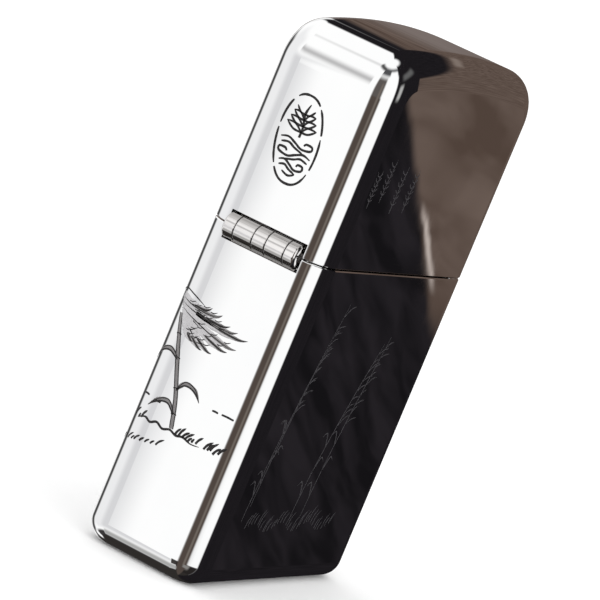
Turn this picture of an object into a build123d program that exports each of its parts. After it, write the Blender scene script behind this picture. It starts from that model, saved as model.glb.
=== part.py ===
"""A flip-top pocket lighter, closed.

The frame: +Z up, the lighter standing on its base with the origin in the middle of the base plate.
X runs along the width with the hinge on the -X side, and -Y is the front.  All sizes are in mm.

Outside, a thick-walled case and a domed lid are joined by a five-knuckle hinge.  Inside the case
stands the burner insert: a sleeve full of cotton with a wick, a deck with the wind guard, the
striker wheel over its spring-fed flint, and the sprung cam lever that works against the lid.
"""

from build123d import *
import math
import os

# ---------------------------------------------------------------- outer case
case_width = 36.7  # X, over the flat side walls
case_depth = 13.8  # Y
seam_height = 34.3  # the middle of the gap between case and lid
lid_height = 22.7  # from there to the top of the lid's crown
seam_gap = 0.14
wall = 1.0
corner_radius = 3.1  # upright edges, and the lid's top edges
base_radius = 2.2
lid_corner_radius = 4.9  # the lid's top corners in front view
lid_crown = 1.2  # rise of the lid's top across its width
rim_break = 0.1  # softened edge of each rim
cavity_floor_radius = 0.8
base_groove_width = 0.5
base_groove_depth = 0.15
base_groove_inset = 3.4

# --------------------------------------------------------------------- hinge
barrel_radius = 1.3
pin_radius = 0.65
pin_recess = 0.5  # how far the pin's ends lie inside the barrel
pin_clearance = 0.04  # round the pin in the lid's knuckles
knuckle_lengths = [1.3, 2.15, 1.5, 2.15, 1.3]  # front to back, the case's and the lid's in turn
knuckle_gap = 0.08
notch_gap = 0.2  # round the barrel, in both walls
notch_depth = 1.2  # from the wall's outer face, through the start of the inner corners too
leaf_thickness = 0.5
leaf_height = 7.5
leaf_corner_radius = 1.0
leaf_barrel_gap = 0.12  # from each leaf's flat to the other leaf's knuckles
weld_radius = 0.55
weld_depth = 0.12
weld_from_end = 2.2  # weld spots to the leaf's far end
pin_chamfer = 0.12

# -------------------------------------------------------------------- insert
insert_side_gap = 0.15  # sleeve to case, front and back
insert_end_gap = 0.2  # sleeve to case wall, and to the hinge leaf
insert_lift = 0.4  # sleeve's lower edge above the case floor
sheet = 0.4  # sleeve wall
deck_rise = 3.0  # deck top above the seam
deck_thickness = 0.5
deck_band = 1.2  # height of the deck's outer rim
deck_skirt = 2.5
deck_edge_radius = 0.8

# --------------------------------------------------------------- wind guard
guard_sheet = 0.45
guard_width = 9.0  # outside, front to back
guard_room = 7.9  # from its top to the lid's ceiling
guard_cam_room = 5.0  # from the cam's pivot to the guard's rounded end
guard_jog_start = 4.8  # before the wheel's axle, where the sides turn in to its ears
guard_jog = 2.0
guard_step = 0.8  # how far into that turn the full height runs
guard_corner = 1.2  # chamfer at the foot of the step down to the ears
hole_radius = 0.95
hole_margin = 0.2  # beside the end holes, along the flat of each side
hole_first_z = 3.1
hole_top_room = 2.8  # from the top row to the guard's top
hole_rows = [3, 2, 3]
guard_window_width = 3.2
guard_window_height = 0.9

# ------------------------------------------------------------ striker wheel
wheel_inset = 6.95  # axle to the insert's end wall
wheel_radius = 3.9
wheel_width = 5.2
wheel_height = 0.8  # its lowest point above the deck
wheel_side_gap = 0.25
rim_width = 1.45  # each thumb rim
rim_teeth = 36
rim_tooth = 0.3
file_teeth = 60
file_tooth = 0.16
file_drop = 0.15  # file band below the thumb rims
wheel_dish = 0.35
wheel_rim_wall = 1.0  # left outside the dish
wheel_boss = 0.9  # left round the axle
axle_radius = 0.8
axle_clearance = 0.04
rivet_head_extra = 0.6
rivet_head_height = 0.5
ear_radius = 2.3

# ---------------------------------------------------------------- cam lever
cam_inset = 3.65  # pivot to the insert's end wall
cam_rise = 1.9  # pivot above the deck
cam_hub_radius = 1.6
cam_width = 3.6
cam_side_gap = 0.2
cam_tip_radius = 0.7
cam_tip_rise = 1.6
cam_tip_gap = 0.12  # tip to the lid's hinge leaf
cam_nose_length = 3.4
cam_nose_cut = 0.55  # taken off each side of the nose
cam_rivet_radius = 0.7
bracket_sheet = 0.45
bracket_radius = 1.5

# --------------------------------------------------------------- cam spring
spring_sheet = 0.3
spring_arm_width = 1.7
spring_tip_width = 2.2
spring_deck_gap = 0.03
spring_hub_gap = 0.05
spring_tip_rise = 2.7
spring_foot = 0.7  # how far the bend reaches beyond the spring's tip
spring_neck_x = 2.6  # length over which the arm moves back to the middle

# --------------------------------------------------------------- flint feed
tube_radius = 2.0
tube_bore = 1.3
tube_flange_radius = 2.7
tube_flange = 0.25
tube_end_z = 4.2
flint_radius = 1.2
flint_length = 5.0
flint_gap = 0.08
plunger_radius = 1.15
plunger_head = 0.8
plunger_stem_radius = 0.5
plunger_stem = 2.0
feed_wire_radius = 0.17
feed_coil_radius = 0.93
feed_pitch = 1.0
screw_head_radius = 2.6
screw_head = 1.2
screw_slot_width = 0.6
screw_slot_depth = 0.55
screw_length = 6.0
screw_clearance = 0.03
screw_nose = 1.5

# -------------------------------------------------------- wick and cotton
wick_offset = 1.3  # from the middle of the guard towards the wheel
wick_radius = 1.5
wick_drop = 2.6  # below the guard's top
wick_clearance = 0.12
felt_thickness = 2.0
felt_recess = 0.7  # up inside the sleeve's lower edge
felt_clearance = 0.1
cotton_layers = 5
cotton_gap = 0.15
cotton_clearance = 0.15
wick_end_room = 2.9  # packing between the wick's turns and the sleeve's end
wick_tube_room = 1.4  # packing between the wick's turns and the flint tube

# ------------------------------------------------------------ derived sizes
lighter_height = seam_height + lid_height
half_width = case_width / 2
half_depth = case_depth / 2
inner_width = case_width - 2 * wall
inner_depth = case_depth - 2 * wall
inner_radius = corner_radius - wall
case_rim_z = seam_height - seam_gap / 2
lid_rim_z = seam_height + seam_gap / 2
pin_x = -half_width
barrel_length = sum(knuckle_lengths)
notch_half_length = barrel_length / 2 + notch_gap
notch_reach = barrel_radius + notch_gap
leaf_start = math.sqrt(max((barrel_radius + leaf_barrel_gap) ** 2 - wall**2, 0))
leaf_width = inner_depth - 2 * inner_radius - 0.1
leaf_face_x = -inner_width / 2 + leaf_thickness
insert_left_x = leaf_face_x + insert_end_gap
insert_right_x = inner_width / 2 - insert_end_gap
insert_length = insert_right_x - insert_left_x
insert_mid_x = (insert_right_x + insert_left_x) / 2
insert_depth = inner_depth - 2 * insert_side_gap
insert_radius = inner_radius - insert_side_gap
insert_base_z = wall + insert_lift
deck_z = seam_height + deck_rise
sleeve_top_z = deck_z - deck_band
wheel_x = insert_right_x - wheel_inset
cam_x = insert_left_x + cam_inset
guard_end_x = cam_x + guard_cam_room
guard_flat_x = wheel_x - guard_jog_start
guard_height = lighter_height - wall - guard_room - deck_z
wick_x = (guard_end_x + guard_flat_x) / 2 + wick_offset
wick_height = guard_height - wick_drop
wheel_z = deck_z + wheel_height + wheel_radius
cam_z = deck_z + cam_rise
ear_inner_y = wheel_width / 2 + wheel_side_gap
wheel_plane = Plane(origin=(wheel_x, 0, wheel_z), x_dir=(1, 0, 0), z_dir=(0, -1, 0))
cam_plane = Plane(origin=(cam_x, 0, cam_z), x_dir=(1, 0, 0), z_dir=(0, -1, 0))
pin_plane = Plane(origin=(pin_x, 0, seam_height), x_dir=(1, 0, 0), z_dir=(0, -1, 0))
side_plane = Plane(origin=(0, 0, 0), x_dir=(1, 0, 0), z_dir=(0, -1, 0))

os.makedirs("parts", exist_ok=True)


def insert_outline(inset, mode=Mode.ADD):
    """The insert's rounded outline, drawn on the sketch that is open."""
    with Locations((insert_mid_x, 0)):
        RectangleRounded(
            insert_length - 2 * inset, insert_depth - 2 * inset, insert_radius - inset, mode=mode
        )


def lid_body(inset):
    """The lid's outer form, or its hollow when inset by the wall, down to the lid's rim.

    In front view each top corner is an arc that runs smoothly into the side and into the crown.
    """
    half = half_width - inset
    corner_x = half_width - lid_corner_radius
    outer_crown = (half_width**2 + lid_crown**2) / (2 * lid_crown)
    crown_z = lighter_height - outer_crown
    to_corner = outer_crown - lid_corner_radius
    corner_z = crown_z + math.sqrt(to_corner**2 - corner_x**2)
    reach = (outer_crown - inset) / to_corner
    joint_x = corner_x * reach
    joint_z = crown_z + (corner_z - crown_z) * reach
    with BuildPart() as body:
        with BuildSketch(side_plane):
            with BuildLine():
                Line((-half, lid_rim_z), (half, lid_rim_z))
                Line((half, lid_rim_z), (half, corner_z))
                TangentArc((half, corner_z), (joint_x, joint_z), tangent=(0, 1))
                ThreePointArc((joint_x, joint_z), (0, lighter_height - inset), (-joint_x, joint_z))
                TangentArc((-half, corner_z), (-joint_x, joint_z), tangent=(0, 1))
                Line((-half, corner_z), (-half, lid_rim_z))
            make_face()
        extrude(amount=half_depth - inset, both=True)
        faces_y = body.faces().filter_by(Axis.Y)
        rims = body.faces().sort_by(Axis.Z)[0].edges()
        rounded = [e for e in faces_y.edges() if e not in rims]
        fillet(rounded, corner_radius - inset)
    return body.part


def rim_notch(low_z, high_z):
    """The window that both walls leave for the hinge barrel, cut from the part that is open."""
    with Locations((-half_width, 0, (low_z + high_z) / 2)):
        Box(2 * notch_depth, 2 * notch_half_length, high_z - low_z, mode=Mode.SUBTRACT)


# ----------------------------------------------------------------- the case
with BuildPart() as case_shell:
    with BuildSketch():
        RectangleRounded(case_width, case_depth, corner_radius)
    extrude(amount=case_rim_z)
    fillet(case_shell.faces().sort_by(Axis.Z)[0].edges(), base_radius)
    with BuildSketch(Plane.XY.offset(wall)):
        RectangleRounded(inner_width, inner_depth, inner_radius)
    extrude(amount=case_rim_z - wall, mode=Mode.SUBTRACT)
    floor_edges = case_shell.faces().filter_by(Axis.Z).group_by(Axis.Z)[1].edges()
    fillet(floor_edges, cavity_floor_radius)
    chamfer(case_shell.faces().sort_by(Axis.Z)[-1].edges(), rim_break)
    rim_notch(seam_height - notch_reach, case_rim_z + 1)
    with BuildSketch():
        groove_width = case_width - 2 * base_groove_inset
        groove_depth = case_depth - 2 * base_groove_inset
        groove_radius = min(corner_radius, groove_depth / 2 - base_groove_width)
        RectangleRounded(groove_width, groove_depth, groove_radius)
        RectangleRounded(
            groove_width - 2 * base_groove_width,
            groove_depth - 2 * base_groove_width,
            groove_radius - base_groove_width,
            mode=Mode.SUBTRACT,
        )
    extrude(amount=base_groove_depth, mode=Mode.SUBTRACT)
case_shell.part.label = "case_shell"
export_step(case_shell.part, "parts/case_shell.step")

# ------------------------------------------------------------------ the lid
lid_outer = lid_body(0)
lid_hollow = lid_body(wall)
with BuildPart() as lid_shell:
    add(lid_outer)
    add(lid_hollow, mode=Mode.SUBTRACT)
    chamfer(lid_shell.faces().sort_by(Axis.Z)[0].edges(), rim_break)
    rim_notch(lid_rim_z - 1, seam_height + notch_reach)
lid_shell.part.label = "lid_shell"
export_step(lid_shell.part, "parts/lid_shell.step")


# ---------------------------------------------------------------- the hinge
def knuckle_spans():
    """The front and back Y of each knuckle, with half a gap off each end that meets another."""
    spans = []
    y = -barrel_length / 2
    last = len(knuckle_lengths) - 1
    for i, length in enumerate(knuckle_lengths):
        front_gap = knuckle_gap / 2 if i > 0 else 0
        back_gap = knuckle_gap / 2 if i < last else 0
        spans.append((y + front_gap, y + length - back_gap))
        y += length
    return spans


def hinge_leaf(side, own, bore):
    """A hinge leaf: side is 1 for the lid's, above the pin, and -1 for the case's, below it.

    own is the list of the knuckles' spans that belong to this leaf.
    """
    with BuildPart() as leaf:
        with BuildSketch(Plane.YZ.offset(-inner_width / 2)):
            with Locations((0, seam_height + side * (leaf_start + leaf_height) / 2)):
                Rectangle(leaf_width, leaf_height - leaf_start)
        extrude(amount=leaf_thickness)
        far_corners = leaf.edges().filter_by(Axis.X).group_by(Axis.Z)[-1 if side > 0 else 0]
        fillet(far_corners, leaf_corner_radius)
        for front, back in own:
            with BuildSketch(pin_plane.offset(-back)):
                Circle(barrel_radius)
                root_width = wall + leaf_thickness - barrel_radius + pin_radius
                with Locations((wall + leaf_thickness - root_width / 2, side * notch_reach / 2)):
                    Rectangle(root_width, notch_reach)
            extrude(amount=back - front)
        with BuildSketch(pin_plane.offset(-barrel_length)):
            Circle(bore)
        extrude(amount=2 * barrel_length, mode=Mode.SUBTRACT)
        with BuildSketch(Plane.YZ.offset(leaf_face_x - weld_depth)):
            with Locations((0, seam_height + side * (leaf_height - weld_from_end))):
                with GridLocations(barrel_length / 3, 1, 3, 1):
                    Circle(weld_radius)
        extrude(amount=weld_depth, mode=Mode.SUBTRACT)
    return leaf


spans = knuckle_spans()
case_leaf = hinge_leaf(-1, spans[0::2], pin_radius)
case_leaf.part.label = "case_hinge_leaf"
export_step(case_leaf.part, "parts/case_hinge_leaf.step")
lid_leaf = hinge_leaf(1, spans[1::2], pin_radius + pin_clearance)
lid_leaf.part.label = "lid_hinge_leaf"
export_step(lid_leaf.part, "parts/lid_hinge_leaf.step")

with BuildPart() as hinge_pin:
    with BuildSketch(pin_plane):
        Circle(pin_radius)
    extrude(amount=barrel_length / 2 - pin_recess, both=True)
    chamfer(hinge_pin.faces().filter_by(Axis.Y).edges(), pin_chamfer)
hinge_pin.part.label = "hinge_pin"
export_step(hinge_pin.part, "parts/hinge_pin.step")

# --------------------------------------------------------------- the sleeve
with BuildPart() as insert_sleeve:
    with BuildSketch(Plane.XY.offset(insert_base_z)):
        insert_outline(0)
        insert_outline(sheet, Mode.SUBTRACT)
    extrude(amount=sleeve_top_z - insert_base_z)
insert_sleeve.part.label = "insert_sleeve"
export_step(insert_sleeve.part, "parts/insert_sleeve.step")

# ------------------------------------------------- the deck with its bracket
bracket_inner_y = cam_width / 2 + cam_side_gap
with BuildPart() as insert_deck:
    with BuildSketch(Plane.XY.offset(sleeve_top_z)):
        insert_outline(0)
    extrude(amount=deck_band)
    fillet(insert_deck.faces().sort_by(Axis.Z)[-1].edges(), deck_edge_radius)
    with BuildSketch(Plane.XY.offset(sleeve_top_z - deck_skirt)):
        insert_outline(sheet)
    extrude(amount=deck_skirt)
    with BuildSketch(Plane.XY.offset(sleeve_top_z - deck_skirt)):
        insert_outline(2 * sheet)
    extrude(amount=deck_skirt + deck_band - deck_thickness, mode=Mode.SUBTRACT)
    for side in (-1, 1):
        outer_y = side * (bracket_inner_y + bracket_sheet)
        low_y = min(outer_y, side * bracket_inner_y)
        with BuildSketch(cam_plane.offset(-low_y - bracket_sheet)):
            Circle(bracket_radius)
            with Locations((0, -(cam_rise + deck_thickness / 2) / 2)):
                Rectangle(2 * bracket_radius, cam_rise + deck_thickness / 2)
        extrude(amount=bracket_sheet)
    with BuildSketch(cam_plane.offset(-case_depth / 2)):
        Circle(cam_rivet_radius)
    extrude(amount=case_depth, mode=Mode.SUBTRACT)
    with BuildSketch(Plane.XY.offset(deck_z - deck_band)):
        with Locations((wick_x, 0)):
            Circle(wick_radius + wick_clearance)
        with Locations((wheel_x, 0)):
            Circle(tube_radius)
    extrude(amount=2 * deck_band, mode=Mode.SUBTRACT)
insert_deck.part.label = "insert_deck"
export_step(insert_deck.part, "parts/insert_deck.step")

# ----------------------------------------------------------- the wind guard
guard_line_y = (guard_width - guard_sheet) / 2
ear_line_y = ear_inner_y + guard_sheet / 2
ear_end_x = wheel_x + ear_radius
with BuildPart() as wind_guard:
    with BuildSketch(Plane.XY.offset(deck_z)):
        with BuildLine() as guard_line:
            arc_x = guard_end_x + guard_width / 2
            jog_x = guard_flat_x + guard_jog
            for side in (-1, 1):
                Line((ear_end_x, side * ear_line_y), (jog_x, side * ear_line_y))
                Spline(
                    (jog_x, side * ear_line_y),
                    (guard_flat_x, side * guard_line_y),
                    tangents=[(-1, 0), (-1, 0)],
                )
                Line((guard_flat_x, side * guard_line_y), (arc_x, side * guard_line_y))
            ThreePointArc(
                (arc_x, -guard_line_y), (arc_x - guard_line_y, 0), (arc_x, guard_line_y)
            )
        trace(guard_line.wires()[0], guard_sheet)
    extrude(amount=guard_height)
    # the side view trims the sheet down to the ears
    with BuildSketch(wheel_plane.offset(-case_depth / 2)):
        with BuildLine():
            left = guard_flat_x + guard_step - wheel_x
            top = guard_height
            Line((left, top), (left, ear_radius + guard_corner))
            Line((left, ear_radius + guard_corner), (left + guard_corner, ear_radius))
            Line((left + guard_corner, ear_radius), (0, ear_radius))
            ThreePointArc(
                (0, ear_radius),
                (ear_radius * math.sin(math.pi / 4), ear_radius * math.cos(math.pi / 4)),
                (ear_radius, 0),
            )
            Line((ear_radius, 0), (2 * ear_radius, 0))
            Line((2 * ear_radius, 0), (2 * ear_radius, top))
            Line((2 * ear_radius, top), (left, top))
        make_face()
    extrude(amount=case_depth, mode=Mode.SUBTRACT)
    with BuildSketch(wheel_plane.offset(-case_depth / 2)):
        Circle(axle_radius)
    extrude(amount=case_depth, mode=Mode.SUBTRACT)
    # air holes, front and back
    flat_mid_x = (arc_x + guard_flat_x) / 2
    hole_span = guard_flat_x - arc_x - 2 * (hole_margin + hole_radius)
    hole_pitch = hole_span / (max(hole_rows) - 1)
    hole_rise = (guard_height - hole_first_z - hole_top_room) / (len(hole_rows) - 1)
    with BuildSketch(side_plane.offset(-case_depth / 2)):
        for row, count in enumerate(hole_rows):
            row_z = deck_z + hole_first_z + row * hole_rise
            with Locations((flat_mid_x, row_z)):
                with GridLocations(hole_pitch, 1, count, 1):
                    Circle(hole_radius)
    extrude(amount=case_depth, mode=Mode.SUBTRACT)
    # the cam spring leaves under the rounded end
    with BuildSketch(Plane.YZ.offset(guard_end_x - 1)):
        with Locations((0, deck_z + guard_window_height / 2)):
            Rectangle(guard_window_width, guard_window_height)
    extrude(amount=guard_width / 2, mode=Mode.SUBTRACT)
wind_guard.part.label = "wind_guard"
export_step(wind_guard.part, "parts/wind_guard.step")


# -------------------------------------------------------- the striker wheel
def tooth_points(radius, tooth, count):
    """The corners of a ring of straight teeth about the wheel's axis."""
    points = []
    for i in range(count):
        for share, r in ((0.0, radius - tooth), (0.55, radius), (0.8, radius)):
            angle = 2 * math.pi * (i + share) / count
            points.append((r * math.cos(angle), r * math.sin(angle)))
    return points


rim_points = tooth_points(wheel_radius, rim_tooth, rim_teeth)
file_points = tooth_points(wheel_radius - file_drop, file_tooth, file_teeth)
file_width = wheel_width - 2 * rim_width
wheel_bands = [
    (-wheel_width / 2, rim_width, rim_points),
    (-file_width / 2, file_width, file_points),
    (wheel_width / 2 - rim_width, rim_width, rim_points),
]
with BuildPart() as flint_wheel:
    for front_y, band_width, points in wheel_bands:
        with BuildSketch(wheel_plane.offset(-front_y - band_width)):
            with BuildLine():
                Polyline(*points, close=True)
            make_face()
        extrude(amount=band_width)
    for side in (-1, 1):
        dish_y = side * (wheel_width / 2 - wheel_dish / 2)
        with BuildSketch(wheel_plane.offset(-dish_y - wheel_dish / 2)):
            Circle(wheel_radius - wheel_rim_wall)
            Circle(axle_radius + wheel_boss, mode=Mode.SUBTRACT)
        extrude(amount=wheel_dish, mode=Mode.SUBTRACT)
    with BuildSketch(wheel_plane.offset(-wheel_width)):
        Circle(axle_radius + axle_clearance)
    extrude(amount=2 * wheel_width, mode=Mode.SUBTRACT)
flint_wheel.part.label = "flint_wheel"
export_step(flint_wheel.part, "parts/flint_wheel.step")


def rivet(plane, radius, grip):
    """A rivet across two sheets that are 2 * grip over their outer faces, with a head at each end."""
    with BuildPart() as pin:
        with BuildSketch(plane):
            Circle(radius)
        extrude(amount=grip, both=True)
        for side in (-1, 1):
            start = grip if side > 0 else -grip - rivet_head_height
            with BuildSketch(plane.offset(start)):
                Circle(radius + rivet_head_extra)
            extrude(amount=rivet_head_height)
        ends = pin.faces().filter_by(Axis.Y).sort_by(Axis.Y)
        fillet([ends[0].edges()[0], ends[-1].edges()[0]], rivet_head_height * 0.8)
    return pin


wheel_axle = rivet(wheel_plane, axle_radius, ear_inner_y + guard_sheet)
wheel_axle.part.label = "wheel_axle"
export_step(wheel_axle.part, "parts/wheel_axle.step")

# ------------------------------------------------------------ the cam lever
tip_dx = leaf_face_x + cam_tip_gap + cam_tip_radius - cam_x
with BuildPart() as cam_lever:
    with BuildSketch(cam_plane.offset(-cam_width / 2)):
        Circle(cam_hub_radius)
        with Locations((tip_dx, cam_tip_rise)):
            Circle(cam_tip_radius)
        make_hull()
        Circle(cam_rivet_radius + pin_clearance, mode=Mode.SUBTRACT)
    extrude(amount=cam_width)
    # the nose is narrower than the hub
    for side in (-1, 1):
        with BuildSketch(Plane.XY.offset(cam_z)):
            with Locations((tip_dx + cam_x - cam_tip_radius, side * cam_width / 2)):
                Rectangle(cam_nose_length, 2 * cam_nose_cut)
        extrude(amount=cam_tip_rise + cam_tip_radius, mode=Mode.SUBTRACT)
cam_lever.part.label = "cam_lever"
export_step(cam_lever.part, "parts/cam_lever.step")

cam_rivet = rivet(cam_plane, cam_rivet_radius, bracket_inner_y + bracket_sheet)
cam_rivet.part.label = "cam_rivet"
export_step(cam_rivet.part, "parts/cam_rivet.step")

# ----------------------------------------------------------- the cam spring
spring_z = deck_z + spring_deck_gap
spring_tip_x = cam_x + cam_hub_radius + spring_hub_gap
arm_inner_y = wick_radius + 2 * wick_clearance
arm_outer_y = arm_inner_y + spring_arm_width
neck_start_x = wick_x - wick_radius - 0.4
neck_end_x = neck_start_x - spring_neck_x
half_tip = spring_tip_width / 2
with BuildPart() as cam_spring:
    with BuildSketch(Plane.XY.offset(spring_z)):
        with Locations((wheel_x, 0)):
            Circle(tube_flange_radius)
        with BuildLine():
            Polyline(
                (wheel_x, 0),
                (wheel_x - tube_flange_radius, 0),
                (guard_flat_x - 1, arm_inner_y),
                (neck_start_x, arm_inner_y),
                (neck_end_x, -half_tip),
                (spring_tip_x + spring_foot, -half_tip),
                (spring_tip_x + spring_foot, half_tip),
                (neck_end_x, half_tip),
                (neck_start_x, arm_outer_y),
                (guard_flat_x - 1, arm_outer_y),
                (guard_flat_x, tube_flange_radius),
                (wheel_x, tube_flange_radius),
                close=True,
            )
        make_face()
        with Locations((wheel_x, 0)):
            Circle(tube_radius, mode=Mode.SUBTRACT)
    extrude(amount=spring_sheet)
    with BuildSketch(side_plane.offset(-half_tip)):
        with BuildLine():
            Polyline(
                (spring_tip_x + spring_foot, spring_z),
                (spring_tip_x + spring_foot, spring_z + spring_sheet),
                (spring_tip_x + spring_sheet, spring_z + spring_foot + spring_sheet),
                (spring_tip_x + spring_sheet, deck_z + spring_tip_rise),
                (spring_tip_x, deck_z + spring_tip_rise),
                (spring_tip_x, spring_z + spring_foot),
                (spring_tip_x + spring_foot - spring_sheet / 2, spring_z),
                close=True,
            )
        make_face()
    extrude(amount=spring_tip_width)
cam_spring.part.label = "cam_spring"
export_step(cam_spring.part, "parts/cam_spring.step")

# ----------------------------------------------------------- the flint feed
flange_z = spring_z + spring_sheet
with BuildPart() as flint_tube:
    with BuildSketch(Plane.XY.offset(tube_end_z)):
        with Locations((wheel_x, 0)):
            Circle(tube_radius)
    extrude(amount=flange_z - tube_end_z)
    with BuildSketch(Plane.XY.offset(flange_z)):
        with Locations((wheel_x, 0)):
            Circle(tube_flange_radius)
    extrude(amount=tube_flange)
    with BuildSketch(Plane.XY.offset(tube_end_z)):
        with Locations((wheel_x, 0)):
            Circle(tube_bore)
    extrude(amount=flange_z + tube_flange - tube_end_z, mode=Mode.SUBTRACT)
flint_tube.part.label = "flint_tube"
export_step(flint_tube.part, "parts/flint_tube.step")

flint_base_z = deck_z + wheel_height - flint_length
with BuildPart() as flint:
    with BuildSketch(Plane.XY.offset(flint_base_z)):
        with Locations((wheel_x, 0)):
            Circle(flint_radius)
    extrude(amount=flint_length + 0.5)
    with BuildSketch(wheel_plane.offset(-wheel_width / 2)):
        Circle(wheel_radius + flint_gap)
    extrude(amount=wheel_width, mode=Mode.SUBTRACT)
flint.part.label = "flint"
export_step(flint.part, "parts/flint.step")

plunger_base_z = flint_base_z - plunger_head
with BuildPart() as flint_plunger:
    with BuildSketch(Plane.XY.offset(plunger_base_z)):
        with Locations((wheel_x, 0)):
            Circle(plunger_radius)
    extrude(amount=plunger_head)
    with BuildSketch(Plane.XY.offset(plunger_base_z)):
        with Locations((wheel_x, 0)):
            Circle(plunger_stem_radius)
    extrude(amount=-plunger_stem)
flint_plunger.part.label = "flint_plunger"
export_step(flint_plunger.part, "parts/flint_plunger.step")

screw_top_z = tube_end_z + screw_length
with BuildPart() as flint_screw:
    with BuildSketch(Plane.XY.offset(tube_end_z - screw_head)):
        with Locations((wheel_x, 0)):
            Circle(screw_head_radius)
    extrude(amount=screw_head)
    fillet(flint_screw.edges().sort_by(Axis.Z)[0], 0.25)
    with BuildSketch(Plane.XY.offset(tube_end_z)):
        with Locations((wheel_x, 0)):
            Circle(tube_bore - screw_clearance)
    extrude(amount=screw_length)
    with BuildSketch(Plane.XY.offset(screw_top_z)):
        with Locations((wheel_x, 0)):
            Circle(plunger_stem_radius)
    extrude(amount=screw_nose)
    with BuildSketch(Plane.XY.offset(tube_end_z - screw_head)):
        with Locations((wheel_x, 0)):
            Rectangle(2 * screw_head_radius + 1, screw_slot_width)
    extrude(amount=screw_slot_depth, mode=Mode.SUBTRACT)
flint_screw.part.label = "flint_screw"
export_step(flint_screw.part, "parts/flint_screw.step")

coil_base_z = screw_top_z + feed_wire_radius + 0.02
coil_height = plunger_base_z - feed_wire_radius - 0.02 - coil_base_z
with BuildPart() as flint_spring:
    with BuildLine() as coil:
        Helix(
            pitch=feed_pitch,
            height=coil_height,
            radius=feed_coil_radius,
            center=(wheel_x, 0, coil_base_z),
        )
    with BuildSketch(Plane(origin=coil.line @ 0, z_dir=coil.line % 0)):
        Circle(feed_wire_radius)
    sweep(is_frenet=True)
flint_spring.part.label = "flint_spring"
export_step(flint_spring.part, "parts/flint_spring.step")

# ----------------------------------------------------------------- the felt
felt_base_z = insert_base_z + felt_recess
felt_top_z = felt_base_z + felt_thickness
with BuildPart() as felt_pad:
    with BuildSketch(Plane.XY.offset(felt_base_z)):
        insert_outline(sheet + felt_clearance)
        with Locations((wheel_x, 0)):
            Circle(screw_head_radius + felt_clearance, mode=Mode.SUBTRACT)
    extrude(amount=felt_thickness)
felt_pad.part.label = "felt_pad"
export_step(felt_pad.part, "parts/felt_pad.step")

# ------------------------------------------------------ the wick and cotton
cotton_base_z = max(felt_top_z, tube_end_z) + cotton_gap
cotton_top_z = sleeve_top_z - deck_skirt - cotton_gap
layer_pitch = (cotton_top_z - cotton_base_z) / cotton_layers
turn_radius = layer_pitch / 2
turn_reach = turn_radius + wick_radius
wick_left_turn_x = insert_left_x + sheet + wick_end_room + turn_reach
wick_right_turn_x = wheel_x - tube_radius - wick_tube_room - turn_reach


def wick_channel(radius):
    """The wick's whole route as a round bar: down from the wind guard, then to and fro."""
    with BuildPart() as bar:
        with BuildLine(side_plane) as route:
            top = (wick_x, deck_z + wick_height)
            first_z = cotton_base_z + (cotton_layers - 1) * layer_pitch
            Line(top, (wick_x, first_z + turn_radius))
            bend = JernArc((wick_x, first_z + turn_radius), (0, -1), turn_radius, -90)
            run = Line(bend @ 1, (wick_left_turn_x, first_z))
            for turn in range(cotton_layers - 2):
                leftward = turn % 2 == 0
                tangent = (-1, 0) if leftward else (1, 0)
                u_turn = JernArc(run @ 1, tangent, turn_radius, 180 if leftward else -180)
                end_x = wick_right_turn_x if leftward else wick_left_turn_x
                run = Line(u_turn @ 1, (end_x, first_z - (turn + 1) * layer_pitch))
        start = Plane(origin=route.line @ 0, z_dir=route.line % 0)
        with BuildSketch(start):
            Circle(radius)
        sweep(path=route.line)
    return bar


wick = wick_channel(wick_radius)
wick.part.label = "wick"
export_step(wick.part, "parts/wick.step")

channel = wick_channel(wick_radius + wick_clearance).part
for layer in range(cotton_layers):
    low_z = cotton_base_z + layer * layer_pitch
    with BuildPart() as cotton:
        with BuildSketch(Plane.XY.offset(low_z)):
            insert_outline(2 * sheet + cotton_clearance)
            with Locations((wheel_x, 0)):
                Circle(tube_radius + cotton_clearance, mode=Mode.SUBTRACT)
        extrude(amount=layer_pitch - cotton_gap)
        add(channel, mode=Mode.SUBTRACT)
    cotton.part.label = f"cotton_{layer + 1}"
    export_step(cotton.part, f"parts/cotton_{layer + 1}.step")
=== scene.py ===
"""Flip-top pocket lighter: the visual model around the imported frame.

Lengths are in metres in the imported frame: +Z up, hinge at -X, front at -Y.
"""

import bpy
import bmesh
import math
import random
from mathutils import Matrix, Vector, noise


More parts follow.
